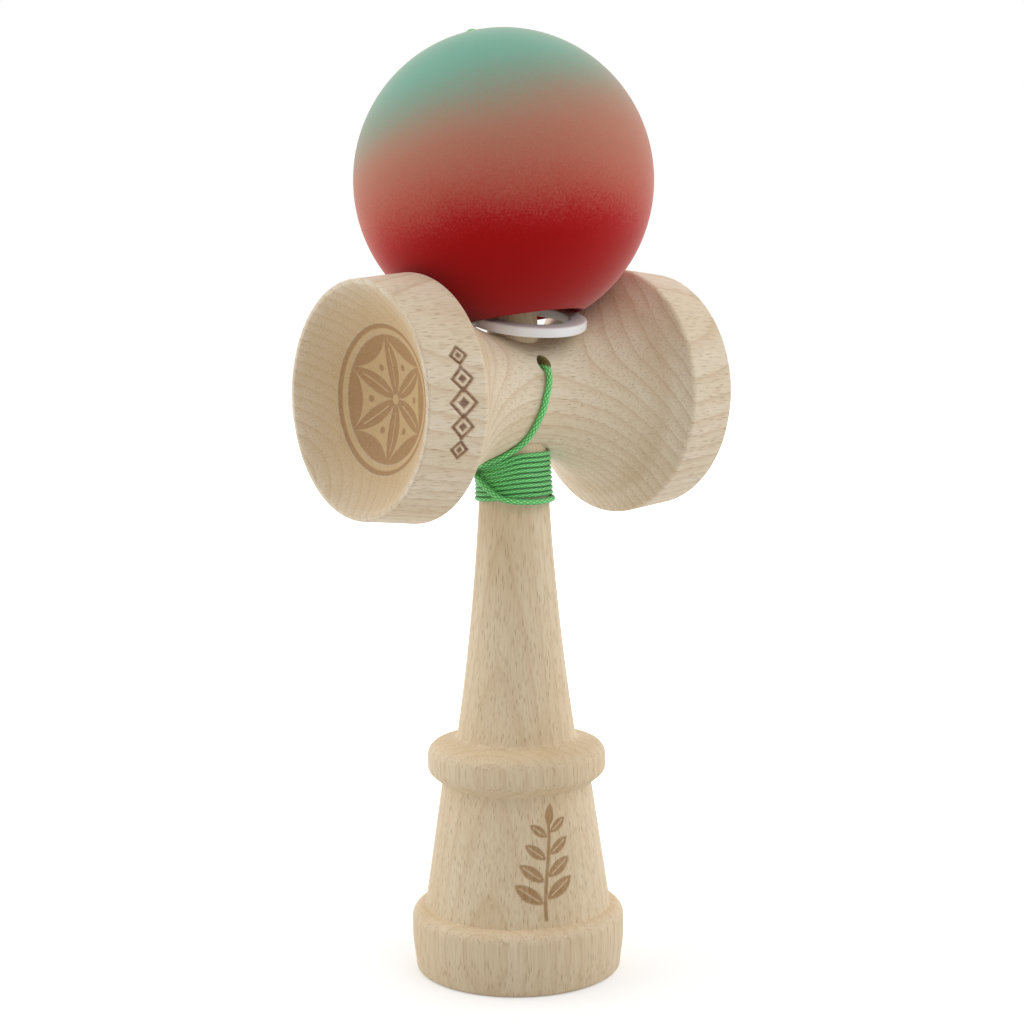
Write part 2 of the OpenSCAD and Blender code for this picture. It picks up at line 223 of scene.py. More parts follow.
def beech(name, look):
    # Beech, turned and sanded: pale, with thin growth lines, short brown ray flecks along the grain
    # that are dots on end grain, fine fibres, and engraving burnt in by heat
    material, tree, shader = startMaterial(name)
    coords = addNode(tree, "ShaderNodeTexCoord")
    point = addNode(tree, "ShaderNodeMapping", {
        "Vector": coords.outputs["Object"], "Rotation": look["grain"], "Location": look["pith"],
        "Scale": (1 / mm, 1 / mm, 1 / mm)})

    def stretched(pattern):
        across, along = look[pattern]
        return addNode(tree, "ShaderNodeVectorMath", {
            0: point, 1: (1 / across, 1 / across, 1 / along)}, operation="MULTIPLY")

    # growth lines: distance from the pith, a little wavy
    wave = addNode(tree, "ShaderNodeTexNoise", {
        "Vector": stretched("waveSize"), "Scale": 1.0, "Detail": 2.0, "Roughness": 0.5})
    flat = addNode(tree, "ShaderNodeVectorMath", {0: point, 1: (1, 1, 0)}, operation="MULTIPLY")
    fromPith = addNode(tree, "ShaderNodeVectorMath", {0: flat}, operation="LENGTH")
    wavy = addNode(tree, "ShaderNodeMath", {
        0: wave, 1: look["waveDepth"], 2: fromPith}, operation="MULTIPLY_ADD")
    years = addNode(tree, "ShaderNodeMath", {0: wavy, 1: look["ringWidth"]}, operation="DIVIDE")
    season = addNode(tree, "ShaderNodeMath", {0: years}, operation="FRACT")
    ringLine = addNode(tree, "ShaderNodeValToRGB", {"Fac": season}, stops=[
        (place, grey(tone)) for place, tone in look["ringTone"]])
    ringShare = addNode(tree, "ShaderNodeMath", {0: ringLine, 1: look["ringShare"]}, operation="MULTIPLY")

    # ray flecks
    cells = addNode(tree, "ShaderNodeTexVoronoi", {
        "Vector": stretched("fleckSize"), "Scale": 1.0, "Randomness": 1.0})
    chance = addNode(tree, "ShaderNodeSeparateColor", {"Color": cells.outputs["Color"]})
    shape = addNode(tree, "ShaderNodeMapRange", {
        "Value": cells.outputs["Distance"],
        "From Min": look["fleckEdge"][0], "From Max": look["fleckEdge"][1]})
    strength = addNode(tree, "ShaderNodeMapRange", {
        "Value": chance.outputs["Red"],
        "From Min": look["fleckChance"][0], "From Max": look["fleckChance"][1]})
    flecks = addNode(tree, "ShaderNodeMath", {0: shape, 1: strength}, operation="MULTIPLY")
    fleckShare = addNode(tree, "ShaderNodeMath", {0: flecks, 1: look["fleckShare"]}, operation="MULTIPLY")

    # fibres and broad tone
    fibre = addNode(tree, "ShaderNodeTexNoise", {
        "Vector": stretched("fibreSize"), "Scale": 1.0, "Detail": 3.0, "Roughness": 0.6})
    fibreShare = addNode(tree, "ShaderNodeMapRange", {
        "Value": fibre, "From Min": look["fibreSpan"][0], "From Max": look["fibreSpan"][1],
        "To Max": look["fibreShare"]})
    tone = addNode(tree, "ShaderNodeTexNoise", {
        "Vector": stretched("toneSize"), "Scale": 1.0, "Detail": 2.0})
    body = addNode(tree, "ShaderNodeValToRGB", {"Fac": tone}, stops=[
        (look["toneSpan"][0], linear(look["pale"])), (look["toneSpan"][1], linear(look["deep"]))])

    # end grain drinks more oil and looks deeper, but the lip is scraped clean and stays pale
    facing = addNode(tree, "ShaderNodeVectorMath", {
        0: coords.outputs["Normal"], 1: look["along"]}, operation="DOT_PRODUCT")
    endOn = addNode(tree, "ShaderNodeMath", {0: facing}, operation="ABSOLUTE")
    endTone = addNode(tree, "ShaderNodeMapRange", {
        "Value": endOn, "From Min": look["endFacing"][0], "From Max": look["endFacing"][1],
        "To Max": look["endShare"]})
    fromAxis = addNode(tree, "ShaderNodeVectorMath", {
        0: coords.outputs["Object"], 1: Vector(look["axisPoint"]) * mm}, operation="SUBTRACT")
    outward = addNode(tree, "ShaderNodeVectorMath", {
        0: fromAxis, 1: [1 - c for c in look["along"]]}, operation="MULTIPLY")
    reach = addNode(tree, "ShaderNodeVectorMath", {0: outward}, operation="LENGTH")
    within = addNode(tree, "ShaderNodeMapRange", {
        "Value": reach, "From Min": look["endReach"] * mm,
        "From Max": (look["endReach"] + look["endFade"]) * mm, "To Min": 1.0, "To Max": 0.0})
    endShare = addNode(tree, "ShaderNodeMath", {0: endTone, 1: within}, operation="MULTIPLY")

    # engraving: a vertex value, browner where the beam dwelt
    burn = addNode(tree, "ShaderNodeAttribute", attribute_name="burn").outputs["Fac"]
    depth = addNode(tree, "ShaderNodeMapRange", {
        "Value": burn, "From Max": look["burnFull"], "To Max": look["burnShare"]})
    scorch = addNode(tree, "ShaderNodeTexNoise", {
        "Vector": stretched("scorchSize"), "Scale": 1.0, "Detail": 3.0})
    scorched = addNode(tree, "ShaderNodeMapRange", {
        "Value": scorch, "From Min": look["scorchSpan"][0], "From Max": look["scorchSpan"][1],
        "To Min": look["scorchLeast"]})
    burnShare = addNode(tree, "ShaderNodeMath", {0: depth, 1: scorched}, operation="MULTIPLY")
    tint = addNode(tree, "ShaderNodeValToRGB", {"Fac": burn}, stops=[
        (look["burnSpan"][0], linear(look["toasted"])), (look["burnSpan"][1], linear(look["burnt"]))])

    colour = body
    for share, over in (
        (ringShare, linear(look["line"])),
        (endShare, linear(look["end"])),
        (fibreShare, linear(look["line"])),
        (fleckShare, linear(look["fleck"])),
        (burnShare, tint),
    ):
        colour = addNode(tree, "ShaderNodeMix", {
            mixShare: share, mixUnder: colour, mixOver: over}, data_type="RGBA")
    rough = addNode(tree, "ShaderNodeMapRange", {
        "Value": fibre, "To Min": look["roughness"][0], "To Max": look["roughness"][1]})
    relief = addNode(tree, "ShaderNodeMath", {
        0: flecks, 1: look["fleckSink"], 2: fibre}, operation="MULTIPLY_ADD")
    bump = addNode(tree, "ShaderNodeBump", {
        "Height": relief, "Strength": 0.25, "Distance": look["reliefDepth"] * mm})
    fill(tree, shader, {
        "Base Color": colour, "Roughness": rough, "Normal": bump,
        "IOR": 1.45, "Specular IOR Level": 0.5})
    return material


kenWood = beech("beech, turned, grain upright", {
    **woodLook, **grainUp, "pith": (34.0, 21.5, 0.0), "endShare": 0.12,
    "pale": "#ead8b9", "deep": "#e0cba8"})
crossWood = beech("beech, turned, grain along the cups", {
    **woodLook, **grainAcross, "pith": (82.0, -40.0, 0.0), "ringWidth": 2.2, "ringShare": 0.5,
    "pale": "#ede0ca", "endReach": 20.8, "axisPoint": (0.0, 0.0, toy["crossZ"])})
beadWood = beech("beech bead, tumbled", {
    **woodLook, **grainUp, "pith": (20.0, 5.0, 0.0), "pale": "#d8bf97", "deep": "#cdb083"})


def rubberPaint():
    # Matt rubbery lacquer, sprayed in three fading bands: no shine, a soft pale bloom at grazing
    # angles, and a fine speckle of droplets where the bands meet
    look = {
        # the red coat's axis also leans away from the camera's side, so its bands sit lower at the ball's
        # rim as seen: partly the paint, partly a painted stand-in for the pale bloom there
        "redAxis": (0.064, 0.227, 0.971),  # the two coats were sprayed from slightly different sides
        "greenAxis": (-0.104, 0.256, 0.961),
        "turnOver": (-6.0, 8.0),  # heights between which the one axis gives way to the other
        "bloom": "#ffdcd4",
        "bands": [
            (-30, "#9b0709"), (-17.5, "#ad070a"), (-15.0, "#b31c1e"), (-12.4, "#ba3f38"),
            (-9.5, "#be594a"), (-5.0, "#c06f5c"), (2.4, "#bd816b"), (8.3, "#ae927b"),
            (11.9, "#9c9d89"), (15.3, "#8aa994"), (19.3, "#79b39e"), (30, "#5eb59d")],
        "driftSize": 14.0,
        "driftReach": 3.0,
        "speckleSize": 0.42,
        "speckleReach": 7.0,
        "grainSize": 0.22,
        "grainDepth": 0.03,
    }
    material, tree, shader = startMaterial("rubber lacquer on the ball")
    coords = addNode(tree, "ShaderNodeTexCoord")
    point = addNode(tree, "ShaderNodeVectorMath", {
        0: coords.outputs["Object"], 1: tuple(c * mm for c in toy["ballCentre"])}, operation="SUBTRACT")
    red, green = (
        addNode(tree, "ShaderNodeVectorMath", {
            0: point, 1: Vector(look[coat]).normalized()}, operation="DOT_PRODUCT")
        for coat in ("redAxis", "greenAxis"))
    turnOver = addNode(tree, "ShaderNodeMapRange", {
        "Value": red, "From Min": look["turnOver"][0] * mm, "From Max": look["turnOver"][1] * mm},
        interpolation_type="SMOOTHSTEP")
    height = addNode(tree, "ShaderNodeMix", {
        mixShare: turnOver, mixLow: red, mixHigh: green}, data_type="FLOAT")
    # both patterns move the bands up and down alike
    drift = addNode(tree, "ShaderNodeTexNoise", {
        "Vector": point, "Scale": 1 / (look["driftSize"] * mm)})
    speckle = addNode(tree, "ShaderNodeTexNoise", {
        "Vector": point, "Scale": 1 / (look["speckleSize"] * mm), "Detail": 1.0})
    for pattern, reach in ((drift, look["driftReach"]), (speckle, look["speckleReach"])):
        centred = addNode(tree, "ShaderNodeMath", {0: pattern, 1: 0.5}, operation="SUBTRACT")
        height = addNode(tree, "ShaderNodeMath", {
            0: centred, 1: reach * mm, 2: height}, operation="MULTIPLY_ADD")
    share = addNode(tree, "ShaderNodeMapRange", {
        "Value": height, "From Min": -toy["ballR"] * mm, "From Max": toy["ballR"] * mm})
    paint = addNode(tree, "ShaderNodeValToRGB", {"Fac": share}, stops=[
        ((h + toy["ballR"]) / (2 * toy["ballR"]), linear(colour)) for h, colour in look["bands"]])
    grain = addNode(tree, "ShaderNodeTexNoise", {
        "Vector": point, "Scale": 1 / (look["grainSize"] * mm), "Detail": 2.0})
    bump = addNode(tree, "ShaderNodeBump", {
        "Height": grain, "Strength": 0.2, "Distance": look["grainDepth"] * mm})
    fill(tree, shader, {
        "Base Color": paint, "Normal": bump, "Roughness": 0.72, "IOR": 1.48, "Specular IOR Level": 0.08,
        "Sheen Weight": 0.6, "Sheen Tint": linear(look["bloom"]), "Sheen Roughness": 0.4})
    return material


def whitePlastic():
    # White moulded nylon: clean, softly glossy, with a faint moulding texture
    look = {"dull": "#f4f4f4", "clear": "#f8f8f6", "cloudSize": 3.0, "mouldSize": 0.3, "mouldDepth": 0.02}
    material, tree, shader = startMaterial("white nylon, moulded")
    place = addNode(tree, "ShaderNodeTexCoord").outputs["Object"]
    cloud = addNode(tree, "ShaderNodeTexNoise", {"Vector": place, "Scale": 1 / (look["cloudSize"] * mm)})
    tint = addNode(tree, "ShaderNodeValToRGB", {"Fac": cloud}, stops=[
        (0.3, linear(look["dull"])), (0.7, linear(look["clear"]))])
    fine = addNode(tree, "ShaderNodeTexNoise", {"Vector": place, "Scale": 1 / (look["mouldSize"] * mm)})
    bump = addNode(tree, "ShaderNodeBump", {
        "Height": fine, "Strength": 0.08, "Distance": look["mouldDepth"] * mm})
    fill(tree, shader, {"Base Color": tint, "Normal": bump, "Roughness": 0.4, "IOR": 1.53})
    return material


def braidedNylon():
    # Braided nylon cord: bright green, two crossing sets of strands, with painted shade in the seams between
    # them and a painted highlight along their crests
    look = {
        "strand": "#4fd45d",
        "crestHighlight": "#a0f2a6",
        "seamShade": "#1a6b2c",
        # groove is the colour of the painted shade between the wound turns
        "groove": "#10491d",
        "strandsRound": 6.0,
        "pick": 1.25,  # from strand to strand along the cord
        "braidDepth": 0.12,
        "fuzzShare": 0.25,
        "grooveFacing": (0.5, 0.98),  # how far the surface looks up or down
        "grooveShare": 0.6,
        "woundTop": (107.0, 110.0),  # heights over which the grooves end
    }
    material, tree, shader = startMaterial("nylon cord, braided")
    braid = addNode(tree, "ShaderNodeUVMap", uv_map="braid")
    parts = addNode(tree, "ShaderNodeSeparateXYZ", {"Vector": braid})

    def strands(sense):
        run = addNode(tree, "ShaderNodeMath", {
            0: parts.outputs["Y"], 1: sense / look["pick"]}, operation="MULTIPLY")
        turn = addNode(tree, "ShaderNodeMath", {
            0: parts.outputs["X"], 1: look["strandsRound"], 2: run}, operation="MULTIPLY_ADD")
        swing = addNode(tree, "ShaderNodeMath", {0: turn, 1: math.pi}, operation="MULTIPLY")
        wave = addNode(tree, "ShaderNodeMath", {0: swing}, operation="SINE")
        return addNode(tree, "ShaderNodeMath", {0: wave}, operation="ABSOLUTE")

    lattice = addNode(tree, "ShaderNodeMath", {0: strands(1), 1: strands(-1)}, operation="MULTIPLY")
    fuzz = addNode(tree, "ShaderNodeTexNoise", {"Vector": braid, "Scale": 9.0, "Detail": 2.0})
    height = addNode(tree, "ShaderNodeMath", {
        0: fuzz, 1: look["fuzzShare"], 2: lattice}, operation="MULTIPLY_ADD")
    # painted light on the braid: shade in the seams, highlight on the crests, and the strands' own green
    # between them
    tint = addNode(tree, "ShaderNodeValToRGB", {"Fac": height}, stops=[
        (0.1, linear(look["seamShade"])), (0.4, linear(look["strand"])), (0.95, linear(look["crestHighlight"]))])
    # painted shade: the grooves between the wound turns are tinted darker, where the turns shade each other
    coords = addNode(tree, "ShaderNodeTexCoord")
    lean = addNode(tree, "ShaderNodeSeparateXYZ", {"Vector": coords.outputs["Normal"]})
    place = addNode(tree, "ShaderNodeSeparateXYZ", {"Vector": coords.outputs["Object"]})
    steep = addNode(tree, "ShaderNodeMath", {0: lean.outputs["Z"]}, operation="ABSOLUTE")
    groove = addNode(tree, "ShaderNodeMapRange", {
        "Value": steep, "From Min": look["grooveFacing"][0], "From Max": look["grooveFacing"][1],
        "To Max": look["grooveShare"]})
    wound = addNode(tree, "ShaderNodeMapRange", {
        "Value": place.outputs["Z"], "From Min": look["woundTop"][0] * mm,
        "From Max": look["woundTop"][1] * mm, "To Min": 1.0, "To Max": 0.0})
    grooveShadeShare = addNode(tree, "ShaderNodeMath", {0: groove, 1: wound}, operation="MULTIPLY")
    withGrooveShade = addNode(tree, "ShaderNodeMix", {
        mixShare: grooveShadeShare, mixUnder: tint, mixOver: linear(look["groove"])}, data_type="RGBA")
    bump = addNode(tree, "ShaderNodeBump", {
        "Height": height, "Strength": 0.6, "Distance": look["braidDepth"] * mm})
    fill(tree, shader, {
        "Base Color": withGrooveShade, "Normal": bump, "Roughness": 0.5, "IOR": 1.53, "Sheen Weight": 0.15})
    return material


ballPaint = rubberPaint()
ringPlastic = whitePlastic()
cordNylon = braidedNylon()
print("materials made")

# Cord

cord = {
    "freeR": 0.62,
    "woundR": 0.46,
    "lead": [
        (0, 1.5, 123.4), (0, -2, 123.4), (0, -5, 123.3), (0, -8, 123), (0, -9.6, 122.95),
        (-0.1, -10.9, 122.75), (-0.2, -11.5, 121.8), (-0.4, -11.85, 120.65), (-0.95, -12.2, 119.1),
        (-1.45, -12.3, 117.75), (-2.1, -12.15, 115.25), (-2.75, -11.65, 113.3), (-3.4, -10.6, 110.95),
        (-4.05, -9.1, 108.95), (-5, -7.5, 107.3), (-6.3, -6, 106.1), (-7.25, -4.65, 105.25),
        (-8.05, -3.1, 104.55), (-8.45, -1.65, 104), (-8.5, 0, 103.6)],
    "riser": [
        (3.55, -7.65, 96.8), (1.4, -8.35, 96.63), (-0.25, -8.5, 96.55), (-2.1, -8.3, 96.55),
        (-3.7, -7.75, 96.6), (-5.1, -6.95, 96.7), (-6.35, -5.85, 96.95), (-7.35, -4.55, 97.4),
        (-7.95, -3.35, 98.15), (-8.4, -2, 99.2), (-8.65, -0.3, 100.5), (-8.6, 1.1, 101.5),
        (-7.5, 4.9, 102.9), (-3.4, 8.8, 105.4), (-1.4, 11.4, 109.2), (-0.5, 13, 114), (0, 14, 120),
        (0.3, 15.9, 127), (0.5, 19.6, 133.2), (0.8, 26.6, 139.8), (1, 31.5, 147.2), (1, 33.5, 154),
        (1, 33.8, 158.8)],
    "crown": [
        (1, 33.8, 161.2), (0.8, 33.4, 167), (0.4, 31.6, 172.6), (0, 28.4, 178.2), (-0.4, 23.6, 183.6),
        (-0.8, 17.6, 187.8)],
    # in the ball's own axes
    "dip": [(0, 7, 30.4), (0, 3.6, 31), (0, 1.2, 29.4), (0, 0, 27), (0, 0, 24), (0, 0, 18), (0, 0, 11.4)],
    "turns": (-0.5, 9.0),  # counted clockwise from the right of the front
    "turnPoints": 24,
    "zeroDir": -39.0,
    "rightZ": (105.85, -0.99),  # height of the turns at the right, and the step of each
    "leftZ": (103.17, -0.522, -0.028),  # at the left, where they crowd at the top
    "falls": (70, 150),  # degrees round, where a turn goes down to the left
    "rises": (290, 375),  # and up again behind
    "crowded": (0.95, 0.6),  # steps at which turns start to crowd, and crowd fully
    "climb": 0.45,  # how far a crowded turn rides out over its neighbours
    "easeOut": 6,  # the cord slims over these lengths, outside and inside the winding's ends
    "easeIn": 3,
    "sides": 14,
    "ringStep": 0.18,
    "knotSize": 0.36,
    "knotStrandR": 0.42,
    "knotPoints": 60,
    "anchorKnot": (0, 3.0, 123.4),
    "beadKnotH": 9.9,  # above the ball's centre
}


def woundZ(t):
    # level across the right and the front, falling to the left, and up again behind
    phi = 360 * (t - math.floor(t))
    fall = smoothStep(*cord["falls"], phi) - smoothStep(*cord["rises"], phi) + 1
    fall -= smoothStep(*cord["rises"], phi + 360)
    right = cord["rightZ"][0] + cord["rightZ"][1] * t
    left = cord["leftZ"][0] + cord["leftZ"][1] * t + cord["leftZ"][2] * t * t
    return right - float(fall) * (right - left)


def woundPoint(t):
    direction = math.radians(cord["zeroDir"] - 360 * t)
    z = woundZ(t)
    crowd = float(smoothStep(*cord["crowded"], z - woundZ(t + 1)))
    odd = 0.5 - 0.5 * math.cos(math.pi * (t + 0.5))  # every second turn climbs
    r = taperRadius(z) + cord["woundR"] + cord["climb"] * crowd * odd
    return (r * math.cos(direction), r * math.sin(direction), z)


def smoothLine(points, step, samples=24):
    # a spline through the points, then evenly spaced
    p = np.array(points, float)
    p = np.vstack([2 * p[0] - p[1], p, 2 * p[-1] - p[-2]])
    knots = np.concatenate([[0], np.cumsum(np.linalg.norm(np.diff(p, axis=0), axis=1) ** 0.5)])
    line = []
    for i in range(1, len(p) - 2):
        t = np.linspace(knots[i], knots[i + 1], samples, endpoint=False)[:, None]
        k0, k1, k2, k3 = knots[i - 1:i + 3]
        a1 = (k1 - t) / (k1 - k0) * p[i - 1] + (t - k0) / (k1 - k0) * p[i]
        a2 = (k2 - t) / (k2 - k1) * p[i] + (t - k1) / (k2 - k1) * p[i + 1]
        a3 = (k3 - t) / (k3 - k2) * p[i + 1] + (t - k2) / (k3 - k2) * p[i + 2]
        b1 = (k2 - t) / (k2 - k0) * a1 + (t - k0) / (k2 - k0) * a2
        b2 = (k3 - t) / (k3 - k1) * a2 + (t - k1) / (k3 - k1) * a3
        line.append((k2 - t) / (k2 - k1) * b1 + (t - k1) / (k2 - k1) * b2)
    line = np.vstack(line + [p[-2:-1]])
    run = np.concatenate([[0], np.cumsum(np.linalg.norm(np.diff(line, axis=0), axis=1))])
    even = np.linspace(0, run[-1], max(int(run[-1] / step), 2))
    return np.column_stack([np.interp(even, run, line[:, k]) for k in range(3)]), even


def sweep(name, line, run, radii):
    # a tube along a line, with the braid's places round and along it
    count, sides = len(line), cord["sides"]
    heading = np.gradient(line, axis=0)
    heading /= np.linalg.norm(heading, axis=1)[:, None]
    normal = np.zeros_like(line)
    acrossStart = (0.3, 0.5, 0.8)  # any direction that isn't the line's own
    n = np.cross(heading[0], acrossStart)
    for i in range(count):
        n = n - heading[i] * (n @ heading[i])
        n /= np.linalg.norm(n)
        normal[i] = n
    side = np.cross(heading, normal)
    turn = 2 * np.pi * np.arange(sides)[None, :] / sides
    r = radii[:, None]
    verts = (line[:, None, :] + (r * np.cos(turn))[..., None] * normal[:, None, :]
             + (r * np.sin(turn))[..., None] * side[:, None, :]).reshape(-1, 3)
    i, k = np.meshgrid(np.arange(count - 1), np.arange(sides), indexing="ij")
    a, b = i * sides + k, i * sides + (k + 1) % sides
    faces = np.stack([a, b, b + sides, a + sides], axis=-1).reshape(-1, 4).tolist()
    sideCorners = 4 * len(faces)
    faces.append(list(range(sides))[::-1])
    faces.append(list(range((count - 1) * sides, count * sides)))
    piece = addPiece(name, verts, faces)
    layer = piece.data.uv_layers.new(name="braid")
    corner = np.zeros(len(piece.data.loops), np.int32)
    piece.data.loops.foreach_get("vertex_index", corner)
    u = (corner % sides) / sides
    v = run[corner // sides]
    # the last face round closes the braid, so its far corners are at 1 and not at 0
    order = np.arange(len(corner))
    first = np.minimum(order // 4 * 4, len(u) - 1)
    wraps = (order < sideCorners) & (u == 0) & (u[first] > 0.5)
    u = np.where(wraps, 1.0, u)
    layer.data.foreach_set("uv", np.column_stack([u, v]).astype(np.float32).ravel())
    piece.data.materials.append(cordNylon)
    return piece


def makeCord():
    low, high = cord["turns"]
    count = int((high - low) * cord["turnPoints"])
    wound = [woundPoint(low + (high - low) * i / count) for i in range(count + 1)]
    tail = cord["riser"] + cord["crown"] + [onBall(*p) for p in cord["dip"]]
    line, run = smoothLine(cord["lead"] + wound + tail, cord["ringStep"])
    # slimmer where it is wound tight
    starts, ends = (run[np.argmin(np.linalg.norm(line - wound[i], axis=1))] for i in (0, -1))
    tight = smoothStep(starts - cord["easeOut"], starts + cord["easeIn"], run)
    tight *= smoothStep(ends + cord["easeOut"], ends - cord["easeIn"], run)
    radii = cord["freeR"] + (cord["woundR"] - cord["freeR"]) * tight
    piece = sweep("cord", line, run, radii)
    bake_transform(piece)
    return piece, line, float(run[-1])


def makeKnot(name, place, body, node):
    # a tight overhand knot
    t = np.linspace(0, 2 * math.pi, cord["knotPoints"])
    loop = np.column_stack([
        np.sin(t) + 2 * np.sin(2 * t), np.cos(t) - 2 * np.cos(2 * t), -np.sin(3 * t)]) * cord["knotSize"]
    line, run = smoothLine([tuple(place @ Vector(p)) for p in loop], cord["ringStep"])
    knot = sweep(name, line, run, np.full(len(run), cord["knotStrandR"]))
    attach(knot, body)
    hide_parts(node)
    return knot


string, stringLine, stringLength = makeCord()
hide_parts("string_anchor", "string_lead", "string_winding", "string_riser", "string_crown",
            "string_tail")
intoHandle = Matrix.Translation(cord["anchorKnot"]) @ Matrix.Rotation(math.pi / 2, 4, "X")
anchorKnot = makeKnot("anchor_overhand", intoHandle, "ken_body", "anchor_knot")
underBead = ballTurn @ Matrix.Translation((0, 0, cord["beadKnotH"]))
beadKnot = makeKnot("bead_overhand", underBead, "bead_body", "bead_knot")
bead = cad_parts["string_bead"]
bead.data.materials.clear()
bead.data.materials.append(beadWood)
print("cord made,", round(stringLength), "mm long")

# Turned pieces


def rounded(outline, steps=7):
    # each point is radius, height and the rounding of its corner
    points = []
    for i, (r, h, rounding) in enumerate(outline):
        if not rounding:
            points.append((r, h))
            continue
        a, b, c = (np.array(outline[j][:2], float) for j in (i - 1, i, i + 1))
        u, w = (a - b) / np.linalg.norm(a - b), (c - b) / np.linalg.norm(c - b)
        half = math.acos(np.clip(u @ w, -1, 1)) / 2
        turn = math.pi - 2 * half
        centre = b + (u + w) / np.linalg.norm(u + w) * rounding / math.sin(half)
        start, end = (b + way * rounding / math.tan(half) - centre for way in (u, w))
        for k in range(steps + 1):
            s = k / steps
            spoke = (start * math.sin((1 - s) * turn) + end * math.sin(s * turn)) / math.sin(turn)
            points.append(tuple(centre + spoke))
    return points


def bend(a, b, c, steps=18):
    # a curve from a to c, pulled towards b
    t = np.linspace(0, 1, steps + 1)[:, None]
    return ((1 - t) ** 2 * np.array(a) + 2 * t * (1 - t) * np.array(b) + t ** 2 * np.array(c)).tolist()


def refined(points, coarse, fine, zone):
    # more points on long stretches, most where the zone says
    points = np.array(points, float)
    dense = [points[0]]
    for a, b in zip(points[:-1], points[1:]):
        step = fine if zone((a + b) / 2) else coarse
        count = max(int(math.ceil(np.linalg.norm(b - a) / step)), 1)
        dense += [a + (b - a) * (k + 1) / count for k in range(count)]
    return np.array(dense)


def lathe(name, outline, segments, place=None, closed=False):
    # turns an outline of radius and height about Z; an open outline starts and ends on the axis
    outline = np.array(outline, float)
    rings = outline if closed else outline[1:-1]
    angle = np.linspace(0, 2 * math.pi, segments, endpoint=False)
    verts = np.stack([rings[:, :1] * np.cos(angle), rings[:, :1] * np.sin(angle),
                      np.repeat(rings[:, 1:], segments, axis=1)], axis=-1).reshape(-1, 3)
    count = len(rings)
    last = count if closed else count - 1
    i, k = np.meshgrid(np.arange(last), np.arange(segments), indexing="ij")
    a, b = i * segments + k, i * segments + (k + 1) % segments
    up = ((i + 1) % count) * segments
    faces = np.stack([a, b, up + (k + 1) % segments, up + k], axis=-1).reshape(-1, 4).tolist()
    if not closed:
        foot, top = len(verts), len(verts) + 1
        verts = np.vstack([verts, [(0, 0, outline[0][1]), (0, 0, outline[-1][1])]])
        end = (count - 1) * segments
        faces += [[foot, (n + 1) % segments, n] for n in range(segments)]
        faces += [[top, end + n, end + (n + 1) % segments] for n in range(segments)]
    if place is not None:
        verts = verts @ np.array(place.to_3x3()).T + np.array(place.translation)
    return addPiece(name, verts, faces)


def bored(piece, *cutters):
    # cuts round holes and leaves a plain mesh
    for cutter in cutters:
        cut = piece.modifiers.new("hole", "BOOLEAN")
        cut.operation = "DIFFERENCE"
        cut.solver = "MANIFOLD"
        cut.object = cutter
    bpy.context.view_layer.update()
    cutPiece = piece.evaluated_get(bpy.context.evaluated_depsgraph_get())
    cutMesh = bpy.data.meshes.new_from_object(cutPiece)
    piece.modifiers.clear()
    cutMesh.materials.clear()
    piece.data = cutMesh
    for cutter in cutters:
        bpy.data.objects.remove(cutter)


def crisp(piece, degrees=32):
    piece.data.shade_smooth()
    piece.data.set_sharp_from_angle(angle=math.radians(degrees))


def engrave(piece, depth, inward, value):
    # sinks the marks into the wood and stores how brown they are; full depth at two thirds brown
    count = len(piece.data.vertices)
    flatCo = np.zeros(count * 3, np.float32)
    piece.data.vertices.foreach_get("co", flatCo)
    co = flatCo.reshape(-1, 3) / mm
    mark = value(co)
    co = co + inward(co) * (depth * np.minimum(mark * 1.5, 1))[:, None]
    piece.data.vertices.foreach_set("co", (co * mm).astype(np.float32).ravel())
    layer = piece.data.attributes.get("burn") or piece.data.attributes.new("burn", "FLOAT", "POINT")
    before = np.zeros(count, np.float32)
    layer.data.foreach_get("value", before)
    layer.data.foreach_set("value", np.maximum(before, mark).astype(np.float32))
    piece.data.update()


def leaf(x, y, length, width):
    # distance outside a pointed leaf that lies along x, centred, of that length and width
    w = width / 2
    arc = (length ** 2 / 4 + w ** 2) / (2 * w)
    return np.maximum(np.hypot(x, y - (arc - w)), np.hypot(x, y + (arc - w))) - arc


def turned(x, y, degrees):
    c, s = math.cos(math.radians(degrees)), math.sin(math.radians(degrees))
    return x * c + y * s, y * c - x * s


def dishRise(lipR):
    # distance of a dish's centre beyond the lip
    return math.sqrt(toy["dishR"] ** 2 - (lipR - toy["lipW"]) ** 2)


def dishArc(lipR, steps=40):
    # radius and depth below the lip, from the middle out
    centre = dishRise(lipR)
    edge = lipR - toy["lipW"]
    radii = [edge * k / steps for k in range(steps + 1)]
    return [(r, math.sqrt(toy["dishR"] ** 2 - r ** 2) - centre) for r in radii]


# Handle

